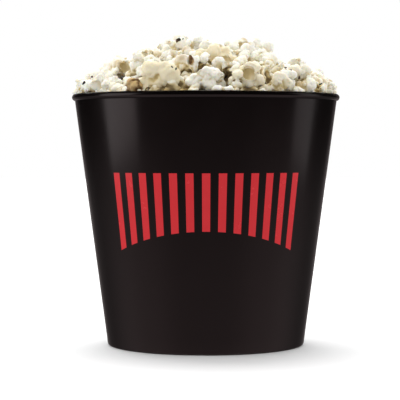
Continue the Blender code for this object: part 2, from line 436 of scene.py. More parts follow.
def points_of(mesh: Mesh, field_name: str = "co") -> np.ndarray:
    """The mesh's points, or another vector of each, as an array with a row for each.

    Args:
        mesh: the mesh to read.
        field_name: "co" for the places or "normal" for the normals.

    Returns:
        An array of rows of three numbers.
    """
    found = np.zeros(len(mesh.vertices) * 3)
    mesh.vertices.foreach_get(field_name, found)
    return found.reshape(-1, 3)


def set_points(mesh: Mesh, points: np.ndarray) -> None:
    """Moves the mesh's points."""
    mesh.vertices.foreach_set("co", points.astype(np.float32).ravel())
    mesh.update()


def set_tone(mesh: Mesh, tan_and_shade: np.ndarray, yellow: np.ndarray, hull: np.ndarray) -> None:
    """Stores the three tones that the starch reads.

    Args:
        mesh: the mesh to mark.
        tan_and_shade: the heart's tan with painted crease shade, above 1 painted shade low in the heap.
        yellow: how yellow its flake is.
        hull: how near the hull is.
    """
    tone = mesh.attributes.new("tone", "FLOAT_COLOR", "POINT")
    rows = np.stack([tan_and_shade, yellow, hull, np.ones_like(tan_and_shade)], axis=1)
    tone.data.foreach_set("color", rows.astype(np.float32).ravel())


def add_piece(name: str, mesh: Mesh, material: Material) -> Object:
    """Adds a finished piece that rides on the part's body.

    Args:
        name: the piece's name.
        mesh: its mesh, in place.
        material: its finish.

    Returns:
        The piece.
    """
    mesh.materials.clear()
    mesh.materials.append(material)
    piece = new_object(name, mesh)
    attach(piece, BODY)
    logging.info("%s: %d faces", name, len(mesh.polygons))
    return piece


def turned(bm: BMesh, outline: list[Pair], steps: int) -> None:
    """Turns an open outline round the Z axis in a bmesh.

    Args:
        bm: the bmesh to add to.
        outline: points as radius and height, from the axis back to the axis.
        steps: how many sides the turned shape has.
    """
    verts = [bm.verts.new((radius, 0.0, height)) for radius, height in outline]
    edges = [bm.edges.new(pair) for pair in zip(verts, verts[1:])]
    bmesh.ops.spin(
        bm,
        geom=verts + edges,
        cent=(0, 0, 0),
        axis=(0, 0, 1),
        dvec=(0, 0, 0),
        angle=math.tau,
        steps=steps,
        use_merge=True,
    )
    bmesh.ops.remove_doubles(bm, verts=bm.verts, dist=WELD)
    bmesh.ops.recalc_face_normals(bm, faces=bm.faces)


@dataclass(frozen=True)
class Bucket:
    """The moulded bucket: a tapered wall with a beaded rim, on a foot ring."""

    height: float = 178 * MM
    rim_radius: float = 95 * MM
    foot_line_radius: float = 69.8 * MM
    slope: float = 0.1334
    wall: float = 1.5 * MM
    floor: float = 2.0 * MM
    foot_ring: float = 5 * MM
    foot_recess: float = 0.8 * MM
    foot_round: float = 2.0 * MM
    bead_height: float = 4.8 * MM
    bead_arc: Pair = (-80, 76)
    edge_round: float = 0.6 * MM
    inside_corner: float = 1.6 * MM
    sides: int = 256
    wall_rings: int = 24
    foot_steps: int = 8
    bead_steps: int = 16
    edge_steps: int = 4

    def wall_radius(self, z: float) -> float:
        """Outer radius of the wall at height z."""
        return self.foot_line_radius + self.slope * z

    def inner_radius(self, z: float) -> float:
        """Inner radius of the wall at height z."""
        return self.wall_radius(z) - self.wall

    def arc(self, middle: Pair, radius: float, start: float, end: float, steps: int) -> list[Pair]:
        """Points on an arc of the section, its angles in degrees from outwards towards up."""
        angles = [math.radians(start + (end - start) * k / steps) for k in range(steps + 1)]
        return [(middle[0] + radius * math.cos(a), middle[1] + radius * math.sin(a)) for a in angles]

    def outline(self) -> list[Pair]:
        """The half section, from the middle of the underside, up the outside and down the inside.

        Returns:
            Points as radius and height.
        """
        foot_outer = self.wall_radius(self.foot_round) - self.foot_round
        bead_radius = self.bead_height / 2
        bead_middle = (self.rim_radius - bead_radius, self.height - bead_radius)
        low, high = self.foot_round, self.height - self.bead_height
        edge = (self.inner_radius(self.height) + self.edge_round, self.height - self.edge_round)
        inside = self.foot_recess + self.floor
        wall_tilt = math.degrees(math.atan(self.slope))
        points = [(0.0, self.foot_recess)]
        points.append((foot_outer - self.foot_ring - self.foot_recess, self.foot_recess))
        points.append((foot_outer - self.foot_ring, 0.0))
        points += self.arc((foot_outer, self.foot_round), self.foot_round, -90, -wall_tilt, self.foot_steps)
        heights = [low + (high - low) * k / self.wall_rings for k in range(1, self.wall_rings + 1)]
        points += [(self.wall_radius(z), z) for z in heights]
        points += self.arc(bead_middle, bead_radius, *self.bead_arc, self.bead_steps)
        points += self.arc(edge, self.edge_round, 90, 180, self.edge_steps)
        points.append((self.inner_radius(inside + self.foot_round), inside + self.foot_round))
        points += [(self.inner_radius(inside) - self.inside_corner, inside), (0.0, inside)]
        return points

    def build(self) -> None:
        """Turns the bucket and puts it in place of its plain solid."""
        bm = bmesh.new()
        turned(bm, self.outline(), self.sides)
        mesh = mesh_of(bm, "bucket_shell")
        mesh.set_sharp_from_angle(angle=CREASE)
        piece = add_piece("bucket_shell", mesh, BucketPlastic().material())
        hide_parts("bucket")


@dataclass(frozen=True)
class StripePanel:
    """The print on the front: upright red stripes, level along the top and arched along the bottom."""

    bucket: Bucket
    stripes: int = 13
    half_span: float = math.radians(46.5)
    top: float = 123.2 * MM
    bottom: float = 84.3 * MM
    arch: float = 44.5 * MM
    proud: float = 0.04 * MM
    ink: float = 0.03 * MM
    columns: int = 4
    rows: int = 16

    def arched_bottom(self, angle: float) -> float:
        """Height of the panel's lower edge at this angle from the front."""
        return self.bottom - self.arch * (1 - math.cos(angle))

    def add_stripe(self, bm: BMesh, middle: float, width: float) -> None:
        """Adds one stripe, wrapped on the wall.

        Args:
            bm: the bmesh to add to.
            middle: the angle of the stripe's middle from the front.
            width: the angle that it covers.
        """
        made = bmesh.ops.create_grid(bm, x_segments=self.columns, y_segments=self.rows, size=0.5)
        for vert in made["verts"]:
            angle = middle + vert.co.x * width
            low = self.arched_bottom(angle)
            z = low + (vert.co.y + 0.5) * (self.top - low)
            radius = self.bucket.wall_radius(z) + self.proud
            vert.co = (radius * math.sin(angle), -radius * math.cos(angle), z)

    def build(self) -> None:
        """Prints the panel, as one piece."""
        pitch = 2 * self.half_span / (self.stripes - 0.5)
        bm = bmesh.new()
        for k in range(self.stripes):
            self.add_stripe(bm, (k - (self.stripes - 1) / 2) * pitch, pitch / 2)
        bmesh.ops.solidify(bm, geom=bm.faces, thickness=self.ink)
        bmesh.ops.recalc_face_normals(bm, faces=bm.faces)
        mesh = mesh_of(bm, "print_stripes")
        mesh.set_sharp_from_angle(angle=CREASE)
        add_piece("print_stripes", mesh, PrintInk().material())


@dataclass(frozen=True)
class FlakeForm:
    """One form of popped flake, with its body at the origin and the kernel's hull underneath it.

    A lobe is kept as the placement of a ball of radius 1: its Z axis runs outwards along the petal and its
    Y axis through the petal's thickness.
    """

    number: int
    seed: int = 700
    body_radius: Pair = (4.2 * MM, 5.0 * MM)
    petal_counts: tuple[int, ...] = (3, 4, 4, 5)
    petal_turn: float = 0.35
    petal_lift: Pair = (-0.25, 0.75)
    petal_out: Pair = (5.2 * MM, 6.9 * MM)
    petal_length: Pair = (4.5 * MM, 6.2 * MM)
    petal_width: Pair = (0.95, 1.3)
    petal_thickness: Pair = (0.52, 0.74)
    petal_lean: float = 0.9
    crown_shift: float = 2.0 * MM
    crown_up: float = 4.8 * MM
    crown_lobe: Pair = (3.9 * MM, 5.1 * MM)
    lobe_share: float = 0.95
    scallops: tuple[int, ...] = (1, 2, 2, 3)
    scallop_fan: float = math.radians(170)
    scallop_sway: float = 0.2
    scallop_aside: float = 0.25
    scallop_out: Pair = (0.50, 0.70)
    scallop_size: Pair = (0.34, 0.50)
    pearl_aside: float = 0.5
    pearl_along: Pair = (-0.4, 0.5)
    pearl_size: Pair = (0.28, 0.44)
    stretch: Pair = (0.84, 1.14)
    dent_aside: float = 0.3
    dent_along: Pair = (-0.1, 0.5)
    dent_size: Pair = (0.72, 1.1)
    dent_depth: Pair = (1.5 * MM, 3.5 * MM)
    dent_uneven: float = 0.3
    billow: float = 3.0 * MM
    billow_size: float = 8.5 * MM
    curl: float = 1.4 * MM
    curl_size: float = 3.4 * MM
    crease_level: float = 0.25
    grain: float = 0.15 * MM
    grain_size: float = 1.5 * MM
    voxel: float = 0.45 * MM
    fine_faces: int = 6400
    coarse_faces: int = 1500
    tone_rounds: int = 3
    tone_fade: float = 1.6
    # Painted crease shade from hollowness, with the real tan round the heart.
    tan_and_shade_base: float = 0.36
    crease_shade_gain: float = 2.4
    tan_and_shade_limit: float = 1.1
    heart_tone: float = 0.6
    heart_reach: float = 5.0 * MM
    hull_reach: float = 3.0 * MM

    def lobes(self) -> list[Matrix]:
        """The large lobes, which the plain solid has too.

        Returns:
            The body first, then the petals round it and the crown over it.
        """
        draw = random.Random(self.seed + self.number)
        lobes = [Matrix.Scale(draw.uniform(*self.body_radius), 4)]
        count = draw.choice(self.petal_counts)
        start = draw.uniform(0, math.tau)
        for k in range(count):
            turn = start + math.tau * k / count + draw.uniform(-self.petal_turn, self.petal_turn)
            lift = draw.uniform(*self.petal_lift)
            flat = math.sqrt(1 - lift**2)
            way = Vector((flat * math.cos(turn), flat * math.sin(turn), lift))
            length = draw.uniform(*self.petal_length)
            width = length * draw.uniform(*self.petal_width)
            thickness = length * draw.uniform(*self.petal_thickness)
            lean = Matrix.Rotation(draw.uniform(-self.petal_lean, self.petal_lean), 4, way)
            outwards = way.to_track_quat("Z", "Y").to_matrix().to_4x4()
            middle = Matrix.Translation(way * draw.uniform(*self.petal_out))
            lobes.append(middle @ lean @ outwards @ Matrix.Diagonal((width, thickness, length, 1.0)))
        across = (draw.uniform(-self.crown_shift, self.crown_shift) for _ in range(2))
        top = Matrix.Translation((*across, self.crown_up))
        lobes.append(top @ Matrix.Scale(draw.uniform(*self.crown_lobe), 4))
        return lobes

    def bulges(self, draw: random.Random) -> list[Matrix]:
        """Small swellings round the edge of each petal and on its faces.

        Args:
            draw: the seeded source of what varies.

        Returns:
            Placements of a ball of radius 1.
        """
        found = []
        for lobe in self.lobes()[1:]:
            length = lobe.to_scale().z
            count = draw.choice(self.scallops)
            for k in range(count):
                angle = self.scallop_fan * ((k + 0.5) / count - 0.5)
                angle += draw.uniform(-self.scallop_sway, self.scallop_sway)
                off = draw.uniform(*self.scallop_out)
                aside = draw.uniform(-self.scallop_aside, self.scallop_aside)
                middle = Vector((off * math.sin(angle), aside, off * math.cos(angle)))
                found.append((lobe @ middle, length * draw.uniform(*self.scallop_size)))
            side = draw.choice((-1, 1))
            across = draw.uniform(-self.pearl_aside, self.pearl_aside)
            middle = Vector((across, self.pearl_aside * side, draw.uniform(*self.pearl_along)))
            found.append((lobe @ middle, length * draw.uniform(*self.pearl_size)))
        return [Matrix.Translation(middle) @ Matrix.Scale(radius, 4) for middle, radius in found]

    def dented(self, points: np.ndarray, draw: random.Random) -> np.ndarray:
        """Presses round hollows into the faces of the petals, which leaves them as cups.

        Args:
            points: the flake's points.
            draw: the seeded source of what varies.

        Returns:
            The moved points.
        """
        uneven = np.array([1 + self.dent_uneven * noise.noise(Vector(p) / self.curl_size) for p in points])
        for lobe in self.lobes()[1:]:
            thick, length = lobe.to_scale().y, lobe.to_scale().z
            face = draw.choice((-1, 1)) * lobe.to_3x3().col[1].normalized()
            radius = length * draw.uniform(*self.dent_size)
            depth = draw.uniform(*self.dent_depth)
            aside = draw.uniform(-self.dent_aside, self.dent_aside)
            middle = lobe @ Vector((aside, 0, draw.uniform(*self.dent_along)))
            middle = np.array(middle + face * (thick + radius - depth))
            offset = points - middle
            share = radius * uneven / np.maximum(np.linalg.norm(offset, axis=1), TINY)
            inside = share > 1
            points[inside] = middle + offset[inside] * share[inside, None]
        return points

    def wrinkled(self, points: np.ndarray, normals: np.ndarray) -> np.ndarray:
        """Puffs the skin up into rounded hills with sharp creases between them, and roughens it a little.

        Args:
            points: the flake's points.
            normals: the normal at each point.

        Returns:
            The moved points.
        """
        shift = Vector((self.number * 3.7, 1.3, -2.1))
        billow = np.array([abs(noise.noise(Vector(p) / self.billow_size + shift)) for p in points])
        curl = np.array([abs(noise.noise(Vector(p) / self.curl_size - shift)) for p in points])
        fine = np.array([noise.noise(Vector(p) / self.grain_size + shift) for p in points])
        height = self.billow * (billow - self.crease_level) + self.curl * (curl - self.crease_level)
        return points + normals * (height + self.grain * fine)[:, None]

    def skin(self) -> Mesh:
        """Melts the lobes and bulges into one skin, hollows it and wrinkles it.

        Returns:
            A dense mesh.
        """
        draw = random.Random(self.seed + 50 + self.number)
        bm = bmesh.new()
        grown = [lobe @ Matrix.Scale(self.lobe_share, 4) for lobe in self.lobes()]
        for placement in grown + self.bulges(draw):
            stretch = Matrix.Diagonal([*(draw.uniform(*self.stretch) for _ in range(3)), 1.0])
            bmesh.ops.create_icosphere(bm, subdivisions=3, radius=1.0, matrix=placement @ stretch)
        mesh = with_modifier(mesh_of(bm, "flake"), "REMESH", {"mode": "VOXEL", "voxel_size": self.voxel})
        set_points(mesh, self.dented(points_of(mesh), draw))
        mesh = with_modifier(mesh, "SMOOTH", {"factor": 0.5, "iterations": 2})
        set_points(mesh, self.wrinkled(points_of(mesh), points_of(mesh, "normal")))
        return mesh

    def meshes(self) -> list[Mesh]:
        """The flake, finely for where it shows and coarsely for below.

        Returns:
            The fine and the coarse mesh.
        """
        skin = self.skin()
        shares = [faces / (2 * len(skin.polygons)) for faces in (self.fine_faces, self.coarse_faces)]
        return [with_modifier(skin, "DECIMATE", {"ratio": share}) for share in shares]

    def tones(self, mesh: Mesh) -> tuple[np.ndarray, np.ndarray]:
        """Finds painted crease shade where the skin is hollow, tan round the heart, and the hull's
        surroundings.

        Args:
            mesh: the flake's finished mesh.

        Returns:
            The heart's tan with painted crease shade at each point, and how near the hull is.
        """
        points, normals = points_of(mesh), points_of(mesh, "normal")
        size = len(points)
        ends = np.zeros(len(mesh.edges) * 2, dtype=np.int64)
        mesh.edges.foreach_get("vertices", ends)
        one, other = ends.reshape(-1, 2).T
        along = points[other] - points[one]
        along /= np.maximum(np.linalg.norm(along, axis=1), TINY)[:, None]
        rise = np.bincount(one, (normals[one] * along).sum(axis=1), size)
        fall = np.bincount(other, (normals[other] * along).sum(axis=1), size)
        count = np.bincount(ends, minlength=size)
        hollow = (rise - fall) / count
        for _ in range(self.tone_rounds):
            spread = np.bincount(one, hollow[other], size) + np.bincount(other, hollow[one], size)
            hollow = 0.5 * hollow + 0.5 * spread / count
        inner = np.clip(self.tone_fade - np.linalg.norm(points, axis=1) / self.heart_reach, 0, 1)
        # Painted crease shade from the hollowness, plus the real tan near the heart.
        tan_and_shade = self.tan_and_shade_base + self.crease_shade_gain * hollow + self.heart_tone * inner
        hull_middle = np.array((0, 0, -1.0)) * self.lobes()[0].to_scale().z
        near = np.linalg.norm(points - hull_middle, axis=1)
        return np.clip(tan_and_shade, 0, self.tan_and_shade_limit), np.clip(self.tone_fade - near / self.hull_reach, 0, 1)


class Flake(NamedTuple):
    """One flake of the heap."""

    form: int
    placement: Matrix
    yellow: float


class FrontFlake(NamedTuple):
    """A large flake that shows at the front, in millimetres, with the numbers of its form and its turn."""

    x: float
    y: float
    top: float
    size: float
    form: int
    turn: int
    yellow: float


FRONT_FLAKES = (
    FrontFlake(-12.5, 0, 43.5, 1.30, 0, 6, 0.0),
    FrontFlake(36, 0, 39.5, 1.15, 2, 8, 0.0),
    FrontFlake(6, -46, 33.5, 1.30, 1, 4, 1.1),
    FrontFlake(-31, -72, 20, 1.34, 6, 9, 1.0),
    FrontFlake(0, -80, 16, 1.32, 5, 8, 0.1),
    FrontFlake(26, -75, 20, 1.22, 0, 8, 0.6),
    FrontFlake(48, -72, 12.5, 1.05, 8, 6, 0.6),
    FrontFlake(67, -55, 12.5, 1.05, 3, 11, 0.2),
    FrontFlake(84, -22, 14, 0.95, 0, 11, 0.3),
    FrontFlake(-84, -11, 16, 1.05, 4, 4, 0.1),
    FrontFlake(-69, -53, 12.5, 1.00, 5, 4, 0.0),
    FrontFlake(-52, -70, 9.5, 1.00, 3, 4, 0.5),
    FrontFlake(-61, -34, 26, 1.10, 7, 11, 0.2),
    FrontFlake(-47, -9, 33, 1.10, 2, 6, 0.0),
    FrontFlake(-29, 0, 37.5, 1.15, 5, 8, 0.0),
    FrontFlake(60, -18, 26, 1.10, 6, 4, 0.0),
)


class Swell(NamedTuple):
    """An uneven place of the mound, in millimetres, with its width across and its depth to the back."""

    x: float
    y: float
    height: float
    width: float
    depth: float


SWELLS = (
    Swell(-17, 0, 5.5, 12, 16),
    Swell(34, 0, 6.5, 12, 16),
    Swell(54, 0, -9.0, 13, 60),
    Swell(-60, 10, -5.0, 14, 60),
    Swell(-84, 0, -5.0, 12, 40),
    Swell(84, 0, -4.0, 14, 40),
    Swell(10, 50, -3.0, 20, 20),
)


@dataclass(frozen=True)
class Heap:
    """The popcorn: a mound of flakes over a core that fills the bucket."""

    bucket: Bucket
    gap: float = 0.3 * MM
    rim_crown: float = 11.5 * MM
    middle_crown: float = 26.5 * MM
    crown_radius: float = 93 * MM
    forms: int = 9
    count: int = 96
    tries: int = 60
    edge: float = 87 * MM
    front_limit: float = -70 * MM
    reach_limit: float = 93.4 * MM
    sizes: Pair = (0.92, 1.26)
    jitter: float = 2.5 * MM
    under_count: int = 150
    under_depth: float = 10 * MM
    under_sizes: Pair = (0.85, 1.05)
    tint: float = 0.45
    core_depth: float = 18 * MM
    core_shoulder: float = 10 * MM
    core_edge: float = 86 * MM
    core_droop: float = 4 * MM
    core_lump: float = 2.6 * MM
    core_fade: float = 8 * MM
    # Painted shade over the whole core, and its yellow.
    core_shade_and_yellow: Pair = (1.3, 0.6)
    core_rings: int = 26
    core_sides: int = 120
    lumps_a_metre: float = 110
    # Painted shade low in the heap, by the depth below the outline.
    deep_shade: float = 1.0
    deep_start: float = 5 * MM
    deep_span: float = 10 * MM
    seed: int = 41
    turn_seed: int = 300

    def height(self, x: Places, y: Places) -> Places:
        """Height of the heap's outline above the rim.

        Args:
            x: one or many places across the front.
            y: their places from the front to the back.

        Returns:
            The height at each in metres.
        """
        share = np.minimum(1.0, np.hypot(x, y) / self.crown_radius)
        swell = 0.0
        for bump in SWELLS:
            off = ((x / MM - bump.x) / bump.width) ** 2 + ((y / MM - bump.y) / bump.depth) ** 2
            swell = swell + bump.height * MM * np.exp(-off)
        return self.rim_crown + self.middle_crown * (1 - share**2) + swell

    def shade(self, points: np.ndarray) -> np.ndarray:
        """Painted shade: how much darker the starch is deep between the flakes, from 0 to its full share."""
        below = self.bucket.height + self.height(points[:, 0], points[:, 1]) - points[:, 2]
        return self.deep_shade * np.clip((below - self.deep_start) / self.deep_span, 0, 1)

    def random_place(
        self, draw: random.Random, taken: list[Vector], front: float, lower: float = 0.0
    ) -> Vector:
        """The emptiest of several random places on the mound.

        Args:
            draw: the seeded source of what varies.
            taken: the places that have a flake.
            front: the place's y is above this.
            lower: how far below the outline the flake's top is.

        Returns:
            The place, with the top's height above the rim as z.
        """
        tried = []
        for _ in range(self.tries):
            radius = self.edge * math.sqrt(draw.random())
            turn = draw.uniform(0, math.tau)
            spot = Vector((radius * math.cos(turn), radius * math.sin(turn), 0.0))
            spot.z = self.height(spot.x, spot.y) + draw.uniform(-self.jitter, self.jitter) - lower
            if spot.y > front:
                tried.append(spot)
        return max(tried, key=lambda spot: min((spot - other).length for other in taken))

    def settled(self, spot: Vector, size: float, form: int, turn: Quaternion) -> Matrix:
        """Turns a flake and moves it to its spot.

        Args:
            spot: the place, with the top's height above the rim as z.
            size: how large it is, as a share.
            form: which form it has.
            turn: how it is turned.

        Returns:
            The placement whose top is at that height and which stays inside the furthest reach.
        """
        turned_form = Matrix.LocRotScale(None, turn, Vector((size, size, size)))
        lobes = [turned_form @ lobe for lobe in FlakeForm(form).lobes()]
        spans = [(lobe.translation, Vector([row.length for row in lobe.to_3x3()])) for lobe in lobes]
        high = [max(middle[axis] + span[axis] for middle, span in spans) for axis in range(3)]
        low = [min(middle[axis] - span[axis] for middle, span in spans) for axis in range(2)]
        lift = self.bucket.height + spot.z - high[2]
        shift = Vector((-(high[0] + low[0]) / 2, -(high[1] + low[1]) / 2, lift))
        out = Vector((spot.x, spot.y, 0)).normalized()
        along = Vector((spot.x, spot.y, 0)).length
        for _ in range(3):
            furthest = 0.0
            for lobe in lobes:
                middle = (out * along + shift + lobe.translation).xy
                across = lobe.to_3x3().transposed() @ middle.normalized().to_3d()
                furthest = max(furthest, middle.length + across.length)
            along -= max(0.0, furthest - self.reach_limit)
        return Matrix.Translation(out * along + shift) @ turned_form

    def random_turn(self, draw: random.Random) -> Quaternion:
        """A turn about any direction."""
        return Quaternion([draw.gauss(0, 1) for _ in range(4)]).normalized()

    def flakes(self) -> list[Flake]:
        """The flakes that show, in the same places as in the plain solid, and those under them.

        Returns:
            Every flake of the heap.
        """
        draw = random.Random(self.seed)
        spots = [Vector((flake.x * MM, flake.y * MM, flake.top * MM)) for flake in FRONT_FLAKES]
        sizes = [flake.size for flake in FRONT_FLAKES]
        turns = [self.random_turn(random.Random(self.turn_seed + flake.turn)) for flake in FRONT_FLAKES]
        looks = [(flake.form, turn) for flake, turn in zip(FRONT_FLAKES, turns)]
        while len(spots) < self.count:
            spots.append(self.random_place(draw, spots, self.front_limit))
            sizes.append(draw.uniform(*self.sizes))
        looks += [(k % self.forms, self.random_turn(draw)) for k in range(len(looks), self.count)]
        under = random.Random(self.seed + 1)
        while len(spots) < self.count + self.under_count:
            spots.append(self.random_place(under, spots, -self.edge, self.under_depth))
        looks += [(k % self.forms, self.random_turn(under)) for k in range(self.under_count)]
        sizes += [under.uniform(*self.under_sizes) for _ in range(self.under_count)]
        tint = random.Random(self.seed + 2)
        yellows = [flake.yellow for flake in FRONT_FLAKES]
        yellows += [tint.uniform(-self.tint, self.tint) for _ in spots[len(FRONT_FLAKES) :]]
        rows = zip(spots, sizes, looks, yellows)
        return [Flake(look[0], self.settled(spot, size, *look), yellow) for spot, size, look, yellow in rows]

    def kept_clear(self, points: np.ndarray) -> np.ndarray:
        """Moves points out of the bucket's wall and rim, inwards or up, whichever is nearer.

        Args:
            points: points in the part's frame.

        Returns:
            The moved points.
        """
        radius = np.maximum(np.hypot(points[:, 0], points[:, 1]), TINY)
        room = self.bucket.inner_radius(points[:, 2]) - self.gap
        lift = self.bucket.height + self.gap - points[:, 2]
        push = radius - room
        up = (push > 0) & (lift > 0) & (lift < push)
        inwards = (push > 0) & (lift > 0) & ~up
        points[up, 2] += lift[up]
        points[inwards, :2] *= (room / radius)[inwards, None]
        return points

    def flake_piece(self, form: int, flakes: list[Flake], material: Material) -> None:
        """Joins all flakes of one form into a piece.

        Args:
            form: which form.
            flakes: every flake of the heap.
            material: the starch.
        """
        fine, coarse = [(mesh, *FlakeForm(form).tones(mesh)) for mesh in FlakeForm(form).meshes()]
        bm = bmesh.new()
        for k, flake in enumerate(flakes):
            if flake.form != form:
                continue
            mesh, tan_and_shade, hull = fine if k < self.count else coarse
            copy = mesh.copy()
            copy.transform(flake.placement)
            set_points(copy, self.kept_clear(points_of(copy)))
            # Painted shade low in the heap, left off the front flakes.
            if k >= len(FRONT_FLAKES):
                tan_and_shade = tan_and_shade + self.shade(points_of(copy))
            set_tone(copy, tan_and_shade, np.full(len(tan_and_shade), flake.yellow), hull)
            pour(bm, copy)
        name = f"popcorn_flakes_{form + 1}"
        piece = add_piece(name, mesh_of(bm, name), material)
        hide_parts("popcorn")

    def core_piece(self, material: Material) -> None:
        """The uneven fill below the flakes.

        Args:
            material: the starch.
        """
        low = self.bucket.foot_recess + self.bucket.floor + self.gap
        foot = self.bucket.foot_round
        shoulder = self.bucket.height - self.core_shoulder
        outline = [(0.0, low), (self.bucket.inner_radius(low) - foot, low)]
        outline.append((self.bucket.inner_radius(low + foot) - self.gap, low + foot))
        outline.append((self.bucket.inner_radius(shoulder) - self.gap, shoulder))
        for k in range(self.core_rings + 1):
            radius = self.core_edge * (1 - k / self.core_rings)
            share = radius / self.crown_radius
            crown = self.rim_crown + self.middle_crown * (1 - share**2) - self.core_depth
            outline.append((radius, self.bucket.height + crown - self.core_droop * share**4))
        bm = bmesh.new()
        turned(bm, outline, self.core_sides)
        mesh = mesh_of(bm, "popcorn_core")
        points, normals = points_of(mesh), points_of(mesh, "normal")
        lumps = np.array([noise.noise(Vector(p) * self.lumps_a_metre) for p in points])
        fade = np.clip((points[:, 2] - shoulder) / self.core_fade, 0, 1)
        set_points(mesh, self.kept_clear(points + normals * (self.core_lump * lumps * fade)[:, None]))
        # The core carries painted shade all over.
        tan_and_shade, yellow = (np.full(len(points), tone) for tone in self.core_shade_and_yellow)
        set_tone(mesh, tan_and_shade, yellow, np.zeros(len(points)))
        piece = add_piece("popcorn_core", mesh, material)
        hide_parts("popcorn")

    def build(self) -> list[Flake]:
        """Builds the core and the flakes.

        Returns:
            The flakes, for what lies on them.
        """
        starch = PoppedStarch().material()
        flakes = self.flakes()
        self.core_piece(starch)
        for form in range(self.forms):
            self.flake_piece(form, flakes, starch)
        return flakes


class Speck(NamedTuple):
    """A bit of hull that shows at the front, seen from the camera against the bucket's axis.

    Its place and length are in millimetres, its stretch is a share and its turn is in degrees.
    """

    x: float
    z: float
    length: float
    stretch: float
    turn: float


SPECKS = (
    Speck(-19.8, 216.7, 1.9, 0.75, 20),
    Speck(-16.2, 217.6, 0.8, 0.4, 70),
    Speck(-81.1, 190.5, 0.9, 0.7, 0),
    Speck(-86.8, 186.2, 1.5, 0.6, 50),
    Speck(-24.0, 197.6, 1.0, 0.5, 120),
    Speck(-21.2, 196.2, 1.1, 0.6, 60),
    Speck(14.5, 190.5, 1.5, 0.5, 40),
    Speck(56.6, 196.9, 1.0, 0.6, 0),
    Speck(60.8, 195.5, 1.1, 0.5, 80),
    Speck(66.5, 190.0, 1.3, 0.5, 100),
    Speck(81.5, 184.8, 1.6, 0.6, 30),
    Speck(92.0, 188.0, 0.8, 0.4, 160),
)


class Skin(NamedTuple):
    """A curled flap of kernel skin that shows at the front, placed as a speck is, in millimetres.

    Its round side faces this way, as shares across, towards the camera and up. Its middle lies behind the
    surface by "back", a share of its radius.
    """

    x: float
    z: float
    radius: float
    facing: tuple[float, float, float]
    back: float


SKINS = (
    Skin(-51.0, 183.0, 7.0, (-0.2, 0.5, 0.85), 0.5),
    Skin(-12.0, 202.5, 3.4, (0.9, 0.4, 0.2), 0.6),
    Skin(-36.0, 180.5, 4.0, (0.5, 0.4, 0.7), 0.7),
)


